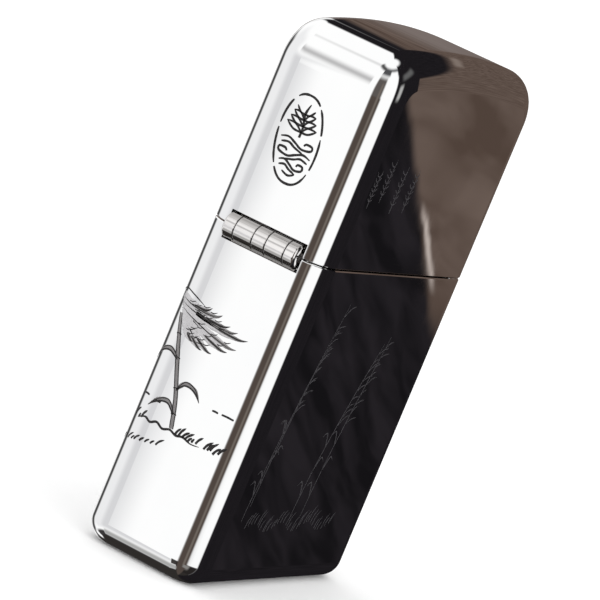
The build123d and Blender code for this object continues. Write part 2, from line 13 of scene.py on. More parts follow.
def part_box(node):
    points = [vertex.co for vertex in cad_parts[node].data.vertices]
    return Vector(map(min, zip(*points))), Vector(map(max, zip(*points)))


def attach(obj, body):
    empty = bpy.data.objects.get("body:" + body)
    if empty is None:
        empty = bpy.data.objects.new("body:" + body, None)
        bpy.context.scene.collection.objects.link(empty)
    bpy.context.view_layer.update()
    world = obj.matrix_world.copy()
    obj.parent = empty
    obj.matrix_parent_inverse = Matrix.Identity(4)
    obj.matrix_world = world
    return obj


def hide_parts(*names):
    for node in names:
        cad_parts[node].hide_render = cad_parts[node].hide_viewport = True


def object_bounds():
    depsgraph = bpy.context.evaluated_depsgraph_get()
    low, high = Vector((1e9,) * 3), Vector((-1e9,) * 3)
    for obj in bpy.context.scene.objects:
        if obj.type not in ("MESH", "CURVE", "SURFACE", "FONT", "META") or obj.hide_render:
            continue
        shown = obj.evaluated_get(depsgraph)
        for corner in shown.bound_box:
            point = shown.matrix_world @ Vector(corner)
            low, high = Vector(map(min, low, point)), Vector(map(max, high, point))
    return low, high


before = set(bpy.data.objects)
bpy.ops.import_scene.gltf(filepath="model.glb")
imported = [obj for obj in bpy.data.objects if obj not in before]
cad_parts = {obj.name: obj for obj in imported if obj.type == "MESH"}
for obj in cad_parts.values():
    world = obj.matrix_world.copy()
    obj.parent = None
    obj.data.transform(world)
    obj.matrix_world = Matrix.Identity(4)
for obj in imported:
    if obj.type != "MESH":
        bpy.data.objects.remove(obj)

MM = 0.001
cad_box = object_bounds()

# ------------------------------------------------------------------ sizes, from the frame
case_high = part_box("case_shell")[1]
lid_low, lid_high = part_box("lid_shell")
half_w = case_high.x
half_d = case_high.y
top_z = lid_high.z
case_rim = case_high.z
lid_rim = lid_low.z
seam_z = (case_rim + lid_rim) / 2
wall = 1.0 * MM
edge_r = 3.1 * MM  # upright edges and the lid's top edges
base_r = 2.2 * MM
floor_r = 0.8 * MM
lid_corner_r = 4.9 * MM
lid_crown = 1.2 * MM
rim_break = 0.1 * MM
leaf_low, leaf_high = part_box("case_hinge_leaf")
barrel_r = -half_w - leaf_low.x
notch_reach = barrel_r + 0.2 * MM
notch_half = leaf_high.y + 0.2 * MM


# ------------------------------------------------------------------ small helpers
def new_object(name, mesh):
    obj = bpy.data.objects.new(name, mesh)
    bpy.context.scene.collection.objects.link(obj)
    return obj


def object_from_bmesh(name, bm, smooth=True):
    bmesh.ops.recalc_face_normals(bm, faces=bm.faces)
    mesh = bpy.data.meshes.new(name)
    bm.to_mesh(mesh)
    bm.free()
    for poly in mesh.polygons:
        poly.use_smooth = smooth
    return new_object(name, mesh)


def apply_modifiers(obj):
    graph = bpy.context.evaluated_depsgraph_get()
    mesh = bpy.data.meshes.new_from_object(obj.evaluated_get(graph))
    obj.modifiers.clear()
    obj.data = mesh


def bridge(bm, ring_a, ring_b):
    """Quads between two closed rings of as many vertices."""
    count = len(ring_a)
    for i in range(count):
        j = (i + 1) % count
        bm.faces.new((ring_a[i], ring_a[j], ring_b[j], ring_b[i]))


def set_material(obj, material):
    obj.data.materials.clear()
    obj.data.materials.append(material)


# ------------------------------------------------------------------ materials
def nodes_of(name):
    material = bpy.data.materials.new(name)
    material.use_nodes = True
    tree = material.node_tree
    return material, tree, tree.nodes["Principled BSDF"]


def add_noise(tree, scale, detail=3.0, stretch=(1, 1, 1), rough=0.5):
    """Noise over the object's own coordinates; scale is in features per metre."""
    coords = tree.nodes.new("ShaderNodeTexCoord")
    mapping = tree.nodes.new("ShaderNodeMapping")
    mapping.inputs["Scale"].default_value = stretch
    tex = tree.nodes.new("ShaderNodeTexNoise")
    tex.inputs["Scale"].default_value = scale
    tex.inputs["Detail"].default_value = detail
    tex.inputs["Roughness"].default_value = rough
    tree.links.new(coords.outputs["Object"], mapping.inputs["Vector"])
    tree.links.new(mapping.outputs["Vector"], tex.inputs["Vector"])
    return tex


def map_range(tree, source, low, high, from_low=0.0, from_high=1.0, smooth=False):
    node = tree.nodes.new("ShaderNodeMapRange")
    if smooth:
        node.interpolation_type = "SMOOTHSTEP"
    node.inputs["From Min"].default_value = from_low
    node.inputs["From Max"].default_value = from_high
    node.inputs["To Min"].default_value = low
    node.inputs["To Max"].default_value = high
    tree.links.new(source, node.inputs["Value"])
    return node.outputs["Result"]


def math_node(tree, operation, a, b=0.0):
    """A sum of two values, each a number or another node's output."""
    node = tree.nodes.new("ShaderNodeMath")
    node.operation = operation
    for socket, value in zip(node.inputs, (a, b)):
        if isinstance(value, float):
            socket.default_value = value
        else:
            tree.links.new(value, socket)
    return node.outputs[0]


def times(tree, a, b):
    return math_node(tree, "MULTIPLY", a, b)


def add(tree, a, b):
    return math_node(tree, "ADD", a, b)


def band(tree, value, low, high, soft):
    """1 between low and high, fading over soft on either side."""
    rise = map_range(tree, value, 0.0, 1.0, low - soft, low + soft, True)
    fall = map_range(tree, value, 1.0, 0.0, high - soft, high + soft, True)
    return times(tree, rise, fall)


def object_height(tree):
    coords = tree.nodes.new("ShaderNodeTexCoord")
    split = tree.nodes.new("ShaderNodeSeparateXYZ")
    tree.links.new(coords.outputs["Object"], split.inputs["Vector"])
    return split.outputs["Z"]


def mix_color(tree, factor, color_a, color_b):
    """From colour a at 0 to colour b at 1; each is a triple or another node's output."""
    node = tree.nodes.new("ShaderNodeMix")
    node.data_type = "RGBA"
    for socket, value in ((node.inputs[6], color_a), (node.inputs[7], color_b)):
        if isinstance(value, tuple):
            socket.default_value = (*value, 1)
        else:
            tree.links.new(value, socket)
    tree.links.new(factor, node.inputs[0])
    return node.outputs[2]


def add_bump(tree, shader, height, distance, strength=1.0):
    node = tree.nodes.new("ShaderNodeBump")
    node.inputs["Distance"].default_value = distance
    node.inputs["Strength"].default_value = strength
    tree.links.new(height, node.inputs["Height"])
    tree.links.new(node.outputs["Normal"], shader.inputs["Normal"])


def metal(name, color, roughness, spread, tint=0.06, brush=None, bump=0.0, scale=900):
    """A bare or plated metal: colour and roughness vary over small patches, brush stretches them."""
    material, tree, shader = nodes_of(name)
    shader.inputs["Metallic"].default_value = 1.0
    patches = add_noise(tree, scale, 4, brush or (1, 1, 1))
    darker = tuple(c * (1 - tint) for c in color)
    tree.links.new(mix_color(tree, patches.outputs["Fac"], darker, color), shader.inputs["Base Color"])
    rough = map_range(tree, patches.outputs["Fac"], roughness - spread, roughness + spread, 0.3, 0.7)
    tree.links.new(rough, shader.inputs["Roughness"])
    if bump:
        fine = add_noise(tree, scale * 5, 3, brush or (1, 1, 1))
        add_bump(tree, shader, fine.outputs["Fac"], bump)
    return material


def mirror_chrome():
    """Polished plate: near-perfect mirror, with buffing haze, hairline scratches and slight ripple."""
    material, tree, shader = nodes_of("mirror_chrome")
    shader.inputs["Metallic"].default_value = 1.0
    haze = add_noise(tree, 160, 5)
    smear = add_noise(tree, 700, 4, (1, 1, 0.12))
    color = mix_color(tree, haze.outputs["Fac"], (0.90, 0.905, 0.91), (0.955, 0.955, 0.95))
    tree.links.new(color, shader.inputs["Base Color"])
    base = map_range(tree, haze.outputs["Fac"], 0.004, 0.016, 0.35, 0.7)
    fine = map_range(tree, smear.outputs["Fac"], 0.0, 0.014, 0.55, 0.8)
    tree.links.new(add(tree, base, fine), shader.inputs["Roughness"])
    ripple = add_noise(tree, 90, 2)
    add_bump(tree, shader, ripple.outputs["Fac"], 0.000005, 0.5)
    return material


def worn_and_shaded_chrome():
    """The hinge's plating: handled, a little warmer, with painted shade where the barrel meets the walls,
    above and below the pin.
    """
    material, tree, shader = nodes_of("hinge_chrome")
    shader.inputs["Metallic"].default_value = 1.0
    patches = add_noise(tree, 700, 4)
    plating_tone = mix_color(tree, patches.outputs["Fac"], (0.80, 0.775, 0.76), (0.95, 0.935, 0.925))
    # painted shade: the plating turns dark above the pin and darker below it, where the barrel meets the
    # lid and case walls
    above_pin = math_node(tree, "SUBTRACT", object_height(tree), seam_z)
    upper = map_range(tree, above_pin, 0.0, 1.0, 0.45 * MM, 1.15 * MM, True)
    lower = map_range(tree, above_pin, 1.0, 0.0, -1.05 * MM, -0.75 * MM, True)
    # painted shade above the pin, then the darker painted shade below it
    shaded_above = mix_color(tree, upper, plating_tone, (0.40, 0.385, 0.375))
    tree.links.new(mix_color(tree, lower, shaded_above, (0.30, 0.285, 0.275)), shader.inputs["Base Color"])
    rough = map_range(tree, patches.outputs["Fac"], 0.03, 0.09, 0.3, 0.7)
    tree.links.new(rough, shader.inputs["Roughness"])
    return material


def fibre(name, color, shade, scale, bump):
    """Matted fibre: cotton or felt."""
    material, tree, shader = nodes_of(name)
    shader.inputs["Roughness"].default_value = 0.95
    shader.inputs["Sheen Weight"].default_value = 0.35
    shader.inputs["Sheen Roughness"].default_value = 0.6
    tufts = add_noise(tree, scale, 6, rough=0.65)
    hairs = add_noise(tree, scale * 6, 4, (1, 1, 0.15))
    clumps = mix_color(tree, tufts.outputs["Fac"], shade, color)
    dust = map_range(tree, hairs.outputs["Fac"], 0.0, 0.35, 0.5, 0.75)
    tree.links.new(mix_color(tree, dust, clumps, shade), shader.inputs["Base Color"])
    add_bump(tree, shader, add(tree, tufts.outputs["Fac"], hairs.outputs["Fac"]), bump)
    return material


def charred_cotton(char_from, char_to):
    """The wick: natural cotton that browns between two heights and is black above them."""
    material, tree, shader = nodes_of("charred_cotton")
    shader.inputs["Roughness"].default_value = 0.9
    shader.inputs["Sheen Weight"].default_value = 0.2
    grain = add_noise(tree, 2600, 5)
    ragged = add(tree, times(tree, grain.outputs["Fac"], 1.6 * MM), object_height(tree))
    brown = map_range(tree, ragged, 0.0, 1.0, char_from, char_to, True)
    black = map_range(tree, ragged, 0.0, 1.0, char_to - 1.2 * MM, char_to + 1.0 * MM, True)
    raw = mix_color(tree, grain.outputs["Fac"], (0.62, 0.55, 0.42), (0.84, 0.79, 0.68))
    scorched = mix_color(tree, brown, raw, (0.16, 0.10, 0.06))
    tree.links.new(mix_color(tree, black, scorched, (0.012, 0.011, 0.011)), shader.inputs["Base Color"])
    add_bump(tree, shader, grain.outputs["Fac"], 0.00006)
    return material


def etched(name, color, spread, roughness):
    """Oxide left in an engraved line: matt, blotchy and a little metallic."""
    material, tree, shader = nodes_of(name)
    shader.inputs["Metallic"].default_value = 0.35
    blotch = add_noise(tree, 3800, 4)
    lighter = tuple(min(1, c + spread) for c in color)
    tree.links.new(mix_color(tree, blotch.outputs["Fac"], color, lighter), shader.inputs["Base Color"])
    rough = map_range(tree, blotch.outputs["Fac"], roughness - 0.1, roughness + 0.1)
    tree.links.new(rough, shader.inputs["Roughness"])
    add_bump(tree, shader, blotch.outputs["Fac"], 0.000008)
    return material


chrome = mirror_chrome()
hinge_chrome = worn_and_shaded_chrome()
pin_steel = metal("pin_steel", (0.16, 0.15, 0.15), 0.4, 0.1, 0.2, bump=0.000006)
rivet_steel = metal("rivet_steel", (0.62, 0.61, 0.60), 0.26, 0.08, 0.12, bump=0.000006)
insert_steel = metal(
    "insert_steel", (0.70, 0.69, 0.67), 0.27, 0.07, 0.1, brush=(1, 1, 0.3), bump=0.0000015, scale=1100
)
spring_steel = metal("spring_steel", (0.52, 0.53, 0.55), 0.22, 0.08, 0.1, bump=0.000003)
wheel_steel = metal("wheel_steel", (0.30, 0.29, 0.29), 0.42, 0.12, 0.4, bump=0.00002, scale=2200)
turned_brass = metal(
    "turned_brass", (0.78, 0.57, 0.27), 0.24, 0.09, 0.15, brush=(1, 1, 3), bump=0.000004, scale=1200
)
flint_alloy = metal("flint_alloy", (0.16, 0.15, 0.15), 0.62, 0.12, 0.4, bump=0.00003, scale=2400)
cotton_fibre = fibre("cotton_fibre", (0.86, 0.85, 0.81), (0.62, 0.60, 0.55), 700, 0.0002)
felt_fibre = fibre("felt_fibre", (0.66, 0.65, 0.61), (0.42, 0.41, 0.38), 1500, 0.00008)
dark_oxide = etched("dark_oxide", (0.012, 0.010, 0.010), 0.02, 0.55)
grey_oxide = etched("grey_oxide", (0.16, 0.15, 0.15), 0.12, 0.5)
pale_oxide = etched("pale_oxide", (0.42, 0.41, 0.42), 0.25, 0.45)
faint_etch = etched("faint_etch", (0.060, 0.056, 0.064), 0.03, 0.5)


# ------------------------------------------------------------------ shells
def rounded_outline(half_x, half_y, radius, steps=20):
    """Points of a rounded rectangle, counter-clockwise seen from above."""
    points = []
    for quarter in range(4):
        cx = (half_x - radius) * (1 if quarter in (0, 3) else -1)
        cy = (half_y - radius) * (1 if quarter in (0, 1) else -1)
        for i in range(steps + 1):
            a = math.pi / 2 * (quarter + i / steps)
            points.append((cx + radius * math.cos(a), cy + radius * math.sin(a)))
    return points


def ring_at(bm, inset, z):
    outline = rounded_outline(half_w - inset, half_d - inset, edge_r - inset)
    return [bm.verts.new((x, y, z)) for x, y in outline]


def case_mesh():
    """The case as stacked outlines: down outside, in under the base, then up inside."""
    bm = bmesh.new()
    arc = [math.pi / 2 * i / 16 for i in range(17)]
    outer = [(rim_break, case_rim), (0, case_rim - rim_break)]
    outer += [(base_r * (1 - math.cos(a)), base_r * (1 - math.sin(a))) for a in arc]
    inner = [(wall - rim_break, case_rim), (wall, case_rim - rim_break)]
    inner += [(wall + floor_r * (1 - math.cos(a)), wall + floor_r * (1 - math.sin(a))) for a in arc[::2]]
    outer_rings = [ring_at(bm, inset, z) for inset, z in outer]
    inner_rings = [ring_at(bm, inset, z) for inset, z in inner]
    for rings in (outer_rings, inner_rings):
        for above, below in zip(rings, rings[1:]):
            bridge(bm, above, below)
        bm.faces.new(rings[-1])
    bridge(bm, outer_rings[0], inner_rings[0])
    return bm


crown_r = (half_w**2 + lid_crown**2) / (2 * lid_crown)
crown_z = top_z - crown_r
corner_x = half_w - lid_corner_r
corner_z = crown_z + math.sqrt((crown_r - lid_corner_r) ** 2 - corner_x**2)
corner_turn = math.atan2(corner_z - crown_z, corner_x)  # the corner arc's end, from +X


def lid_profile(inset):
    """The lid's front outline from the rim on the right, over the top, to the rim on the left."""
    half = []
    for i in range(29):
        a = corner_turn * i / 28
        radius = lid_corner_r - inset
        half.append((corner_x + radius * math.cos(a), corner_z + radius * math.sin(a)))
    for i in range(1, 17):
        a = corner_turn + (math.pi / 2 - corner_turn) * i / 16
        half.append(((crown_r - inset) * math.cos(a), crown_z + (crown_r - inset) * math.sin(a)))
    rim_break_z = lid_rim + rim_break
    right = [(half_w - inset, rim_break_z)] + half
    return right + [(-x, z) for x, z in reversed(right[:-1])]


def lid_skin(bm, inset):
    """One skin of the lid: its outline swept over the rounded front and back edges. Returns its rim."""
    radius = edge_r - inset
    arc = [math.pi / 2 * i / 20 for i in range(21)]
    flat_y = half_d - edge_r
    rows = [(inset + radius * (1 - math.cos(a)), -flat_y - radius * math.sin(a)) for a in reversed(arc)]
    rows += [(row_inset, -y) for row_inset, y in reversed(rows)]
    grid = [[bm.verts.new((x, y, z)) for x, z in lid_profile(row_inset)] for row_inset, y in rows]
    for row_a, row_b in zip(grid, grid[1:]):
        for i in range(len(row_a) - 1):
            bm.faces.new((row_a[i], row_a[i + 1], row_b[i + 1], row_b[i]))
    bm.faces.new(grid[0])
    bm.faces.new(grid[-1])
    right = [row[0] for row in grid]
    left = [row[-1] for row in reversed(grid)]
    return right + left


def rim_ring(bm, rim, inset, from_inset):
    """The rim's vertices moved in by the difference of the two insets, at the rim's own height."""
    ring = []
    for v in rim:
        core_x = half_w - edge_r
        core_y = half_d - edge_r
        cx = max(-core_x, min(core_x, v.co.x))
        cy = max(-core_y, min(core_y, v.co.y))
        share = (edge_r - inset) / (edge_r - from_inset)
        ring.append(bm.verts.new((cx + (v.co.x - cx) * share, cy + (v.co.y - cy) * share, lid_rim)))
    return ring


def lid_mesh():
    bm = bmesh.new()
    outer = lid_skin(bm, 0)
    inner = lid_skin(bm, wall)
    outer_edge = rim_ring(bm, outer, rim_break, 0)
    inner_edge = rim_ring(bm, inner, wall - rim_break, wall)
    bridge(bm, outer, outer_edge)
    bridge(bm, outer_edge, inner_edge)
    bridge(bm, inner_edge, inner)
    return bm


def cut_notch(obj, low_z, high_z):
    """The window for the hinge barrel."""
    depth = 1.2 * MM
    bm = bmesh.new()
    bmesh.ops.create_cube(bm, size=1)
    for v in bm.verts:
        height = low_z + (v.co.z + 0.5) * (high_z - low_z)
        v.co = Vector((v.co.x * 2 * depth - half_w, v.co.y * 2 * notch_half, height))
    cutter = object_from_bmesh("notch_cutter", bm, False)
    cut = obj.modifiers.new("notch", "BOOLEAN")
    cut.object = cutter
    cut.solver = "EXACT"
    apply_modifiers(obj)
    bpy.data.objects.remove(cutter)


def case_normal(p, inset):
    """The exact normal of a case skin at p: upright walls, rounded corners and the rounded base edge."""
    core_x, core_y = half_w - edge_r, half_d - edge_r
    out = Vector((p.x - max(-core_x, min(core_x, p.x)), p.y - max(-core_y, min(core_y, p.y)), 0))
    reach = out.length
    out.normalize()
    radius = base_r if inset == 0 else floor_r
    rise = (0 if inset == 0 else wall) + radius - p.z
    if rise <= 0:
        return out
    side = reach - (edge_r - inset - radius)
    return (out * max(side, 0) - Vector((0, 0, rise))).normalized()


def lid_normal(p, inset):
    """The exact normal of a lid skin at p."""
    ax = abs(p.x)
    if p.z <= corner_z:
        across, depth = Vector((1, 0, 0)), half_w - ax
    elif math.atan2(p.z - crown_z, ax) < corner_turn and ax > 0:
        across = Vector((ax - corner_x, 0, p.z - corner_z))
        depth = lid_corner_r - across.length
    else:
        across = Vector((ax, 0, p.z - crown_z))
        depth = crown_r - across.length
    across = across.normalized()
    if p.x < 0:
        across.x = -across.x
    flat_y = half_d - edge_r
    over_y = max(abs(p.y) - flat_y, 0)
    over_p = edge_r - depth
    if over_y == 0:
        return across
    return (across * max(over_p, 0) + Vector((0, math.copysign(over_y, p.y), 0))).normalized()


def exact_normals(obj, normal_at):
    """Sets each face corner's normal from the shell's own surface, and leaves cut faces flat."""
    mesh = obj.data
    normals = []
    for poly in mesh.polygons:
        poly.use_smooth = True
        for index in poly.loop_indices:
            p = mesh.vertices[mesh.loops[index].vertex_index].co
            best = poly.normal
            for inset, sign in ((0, 1), (wall, -1)):
                n = normal_at(p, inset) * sign
                if n.dot(poly.normal) > 0.985:
                    best = n
                    break
            normals.append(tuple(best))
    mesh.normals_split_custom_set(normals)


def make_shells():
    case = object_from_bmesh("case_body", case_mesh())
    cut_notch(case, seam_z - notch_reach, case_rim + 1 * MM)
    exact_normals(case, case_normal)
    set_material(case, chrome)
    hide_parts("case_shell")
    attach(case, "case")
    lid = object_from_bmesh("lid_body", lid_mesh())
    cut_notch(lid, lid_rim - 1 * MM, seam_z + notch_reach)
    exact_normals(lid, lid_normal)
    set_material(lid, chrome)
    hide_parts("lid_shell")
    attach(lid, "lid")


make_shells()


# ------------------------------------------------------------------ engraving
# Lines are drawn in millimetres on the outline unrolled from the middle of the hinge side:
# s runs towards the front, z is the height.
FLAT = (half_d - edge_r) / MM
BEND = edge_r / MM * math.pi / 2


def on_wall(s, z, lift):
    """The point and outward normal of the upright wall at s and z, lift millimetres off it."""
    side = 1 if s >= 0 else -1
    run = abs(s)
    core_x, core_y = half_w - edge_r, half_d - edge_r
    if run <= FLAT:
        base, normal = Vector((-half_w, -s * MM, 0)), Vector((-1, 0, 0))
    elif run <= FLAT + BEND:
        a = (run - FLAT) * MM / edge_r
        normal = Vector((-math.cos(a), -side * math.sin(a), 0))
        base = Vector((-core_x, -side * core_y, 0)) + normal * edge_r
    else:
        normal = Vector((0, -side, 0))
        base = Vector((-core_x + (run - FLAT - BEND) * MM, -side * half_d, 0))
    return base + normal * lift * MM + Vector((0, 0, z * MM))


def between(a, b, c, d, t):
    """The Catmull-Rom value at t between b and c, with a and d their neighbours."""
    square, cube = 2 * a - 5 * b + 4 * c - d, 3 * b - a - 3 * c + d
    return 0.5 * (2 * b + (c - a) * t + square * t**2 + cube * t**3)


def smooth_line(points, step=0.12):
    """A smooth line through the points, sampled about every step millimetres."""
    ends = [points[0], *points, points[-1]]
    line = []
    for p0, p1, p2, p3 in zip(ends, ends[1:], ends[2:], ends[3:]):
        count = max(2, int(math.dist(p1, p2) / step))
        for i in range(count):
            line.append(tuple(between(*values, i / count) for values in zip(p0, p1, p2, p3)))
    return line + [tuple(points[-1])]


def stroke(bm, points, width, taper=(1.0, 1.0), rise=0.014):
    """A closed lens-section line on the wall; taper is the share of the width left at each end."""
    line = smooth_line(points)
    rings = []
    for i, (s, z) in enumerate(line):
        before, after = line[max(i - 1, 0)], line[min(i + 1, len(line) - 1)]
        ds, dz = after[0] - before[0], after[1] - before[1]
        size = math.hypot(ds, dz) or 1
        t = i / (len(line) - 1)
        swell = min(1, taper[0] + 3 * t, taper[1] + 3 * (1 - t))
        wobble = 1 + 0.16 * noise.noise(Vector((s * 2.1, z * 2.1, 3)))
        half = width / 2 * swell * wobble
        ns, nz = -dz / size * half, ds / size * half
        spots = [(1.0, -0.006), (0.45, rise), (-0.45, rise), (-1.0, -0.006), (0.0, -0.03)]
        rings.append([bm.verts.new(on_wall(s + ns * k, z + nz * k, lift)) for k, lift in spots])
    for ring_a, ring_b in zip(rings, rings[1:]):
        bridge(bm, ring_a, ring_b)
    bm.faces.new(rings[0])
    bm.faces.new(rings[-1])


def finish_engraving(name, bm, body, material):
    obj = object_from_bmesh(name, bm)
    set_material(obj, material)
    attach(obj, body)


def blade(bm, s, z, reach, height, width=0.2):
    """A grass blade from its foot, thinning to a bent tip."""
    points = [(s, z), (s + reach * 0.35, z + height * 0.55), (s + reach, z + height)]
    stroke(bm, points, width, (0.9, 0.1))


def lid_cartouche():
    """An oval with a broken outline, holding a leaf sprig over curled waves."""
    bm = bmesh.new()
    centre_s, centre_z, lean = -0.8, 44.65, -0.11
    half_s, half_z = 2.35, 4.4

    def place(u, v):
        return (centre_s + u + lean * v, centre_z + v)

    def oval(turn):
        c, s = math.cos(turn), math.sin(turn)
        return place(math.copysign(abs(c) ** 0.85, c) * half_s, s * half_z)

    breaks = [(-0.55, 0.20), (0.28, 0.95), (1.05, 2.05), (2.25, 2.95), (3.05, 3.90), (4.0, 5.6)]
    for start, end in breaks:
        steps = 12
        turns = [start + (end - start) * i / steps for i in range(steps + 1)]
        stroke(bm, [oval(turn) for turn in turns], 0.3, (0.7, 0.5))
    # leaf sprig, upper half
    stroke(bm, [place(0.05, 0.2), place(0.15, 1.3), place(0.0, 2.5), place(0.35, 3.6)], 0.32, (1, 0.4))
    for i, v in enumerate((0.75, 1.35, 1.95, 2.5)):
        size = 1.7 - 0.22 * i
        for side in (1, -1):
            stem = place(0.1, v)
            tip = place(side * size, v + 0.62)
            stroke(bm, [stem, place(side * size * 0.5, v + 0.05), tip], 0.28, (1, 0.3))
            if i < 3:
                stroke(bm, [stem, place(side * size * 0.42, v + 0.6), tip], 0.26, (1, 0.3))
    # curled waves, lower half
    for v, flip in ((-0.45, 1), (-1.55, -1), (-2.6, 1)):
        reach = 1.85 if v > -2 else 1.4
        wave = [(-reach, 0.15), (-reach * 0.55, 0.36), (-reach * 0.1, 0.05), (reach * 0.35, -0.3)]
        wave += [(reach * 0.9, -0.12), (reach * 0.92, 0.3), (reach * 0.55, 0.34), (reach * 0.45, 0.1)]
        stroke(bm, [place(flip * u, v + w) for u, w in wave], 0.3, (0.5, 0.8))
        low = [(-reach * 0.9, -0.3), (-reach * 0.45, -0.12), (-reach * 0.05, -0.42), (reach * 0.5, -0.68)]
        stroke(bm, [place(flip * u, v + w) for u, w in low], 0.28, (0.6, 0.4))
    stroke(bm, [place(-0.75, -3.35), place(0.0, -3.6), place(0.7, -3.3)], 0.28, (0.5, 0.5))
    finish_engraving("lid_cartouche", bm, "lid", dark_oxide)


def case_reed():
    """A windblown reed on a tufted bank, with broken lines of water behind it."""
    dark, grey, pale = bmesh.new(), bmesh.new(), bmesh.new()
    rng = random.Random(7)
    plume_foot = (-5.5, 24.3)
    tips = [(-2.3, 26.1), (-1.0, 25.9), (0.2, 25.25), (1.2, 25.0), (2.5, 24.7)]
    tips += [(1.7, 23.4), (0.9, 22.8), (-0.6, 22.0), (-1.7, 21.9), (-2.9, 22.3)]
    for i, tip in enumerate(tips):
        share = i / (len(tips) - 1)
        root = (-6.3 + 1.5 * share, 26.1 - 2.2 * share)
        sag = 0.5 - 0.03 * i
        mid = (root[0] * 0.5 + tip[0] * 0.5, root[1] * 0.5 + tip[1] * 0.5 - sag)
        near_tip = (root[0] * 0.14 + tip[0] * 0.86, root[1] * 0.14 + tip[1] * 0.86 - sag * 0.9)
        line = [root, mid, near_tip, tip]
        stroke(pale, line, 0.95, (1.0, 0.05), 0.006)
        stroke(grey, line[1:], 0.5, (0.1, 0.05), 0.01)
        if i % 2 == 0 or i > 5:
            stroke(dark, line[1:], 0.3, (0.1, 0.15))
        else:
            stroke(dark, line, 0.17, (0.2, 0.2))
        for k in range(3):
            t = 0.35 + 0.2 * k + rng.uniform(-0.04, 0.04)
            s = root[0] * (1 - t) + tip[0] * t
            z = root[1] * (1 - t) + tip[1] * t - sag * (1 - abs(2 * t - 1)) + 0.06
            stroke(dark, [(s, z), (s + 0.35, z - 0.02), (s + 0.75, z + 0.22)], 0.13, (0.8, 0.1))
    stroke(dark, [(-7.6, 26.3), (-6.2, 26.75), (-4.6, 26.5), (-3.0, 25.9)], 0.16, (0.8, 0.2))
    stem = [(-1.5, 13.6), (-2.2, 16.2), (-3.3, 19.0), (-4.4, 21.8), plume_foot]
    stroke(grey, stem, 0.5, (0.8, 0.8), 0.008)
    for shift in (-0.2, 0.2):
        stroke(dark, [(s + shift, z) for s, z in stem], 0.15, (0.8, 0.8))
    for s, z in ((-1.85, 15.0), (-2.65, 17.4), (-3.75, 20.2), (-4.65, 22.4)):
        stroke(dark, [(s - 0.3, z - 0.05), (s, z + 0.05), (s + 0.3, z - 0.02)], 0.18)
    leaves = [
        [(-2.6, 17.3), (-1.9, 18.2), (-0.7, 18.0), (0.2, 17.1)],
        [(-3.7, 20.1), (-4.9, 20.7), (-6.2, 20.2), (-7.3, 19.0)],
        [(-1.9, 15.0), (-2.9, 15.9), (-4.0, 15.6), (-4.9, 14.7)],
    ]
    for leaf in leaves:
        stroke(grey, leaf, 0.62, (0.4, 0.05), 0.008)
        upper = [(s, z + 0.2 * (1 - abs(i - 1.2) / 2)) for i, (s, z) in enumerate(leaf)]
        lower = [(s, z - 0.2 * (1 - abs(i - 1.2) / 2)) for i, (s, z) in enumerate(leaf)]
        stroke(dark, upper, 0.17, (0.8, 0.2))
        stroke(dark, lower, 0.24, (0.8, 0.2))
    for start, end, z in ((-6.0, -5.2, 15.6), (-4.4, -3.6, 15.45), (1.8, 2.5, 17.05), (2.9, 4.3, 17.1)):
        stroke(dark, [(start, z), ((start + end) / 2, z + 0.03), (end, z)], 0.25, (0.8, 0.8))
    bank = [(-5.6, 13.1), (-4.6, 13.5), (-3.9, 13.25), (-3.2, 13.55), (-2.4, 13.2), (-1.6, 13.45)]
    bank += [(-0.8, 13.2), (0.0, 13.35), (1.0, 13.1), (2.0, 13.2)]
    stroke(dark, bank, 0.3, (0.4, 0.2))
    for s in (-6.2, -5.5, -5.1, -0.9, -0.5, -0.1, 0.25, 0.65, 1.05, 1.5, 2.5, 2.9, 3.2, 3.6, 4.1):
        height = rng.uniform(0.35, 1.15)
        blade(dark, s, 13.25 + rng.uniform(-0.1, 0.15), height * rng.uniform(0.4, 0.9), height, 0.32)
    for s in (-7.2, -6.6, -5.9, -5.3, -4.9, -4.2, -3.6, -3.0, -2.4):
        height = rng.uniform(0.4, 0.95)
        blade(dark, s, 10.5 + (s + 7.2) * 0.2, height * 0.9, height, 0.26)
    finish_engraving("case_reed_lines", dark, "case", dark_oxide)
    finish_engraving("case_reed_fill", grey, "case", grey_oxide)
    finish_engraving("case_reed_wash", pale, "case", pale_oxide)


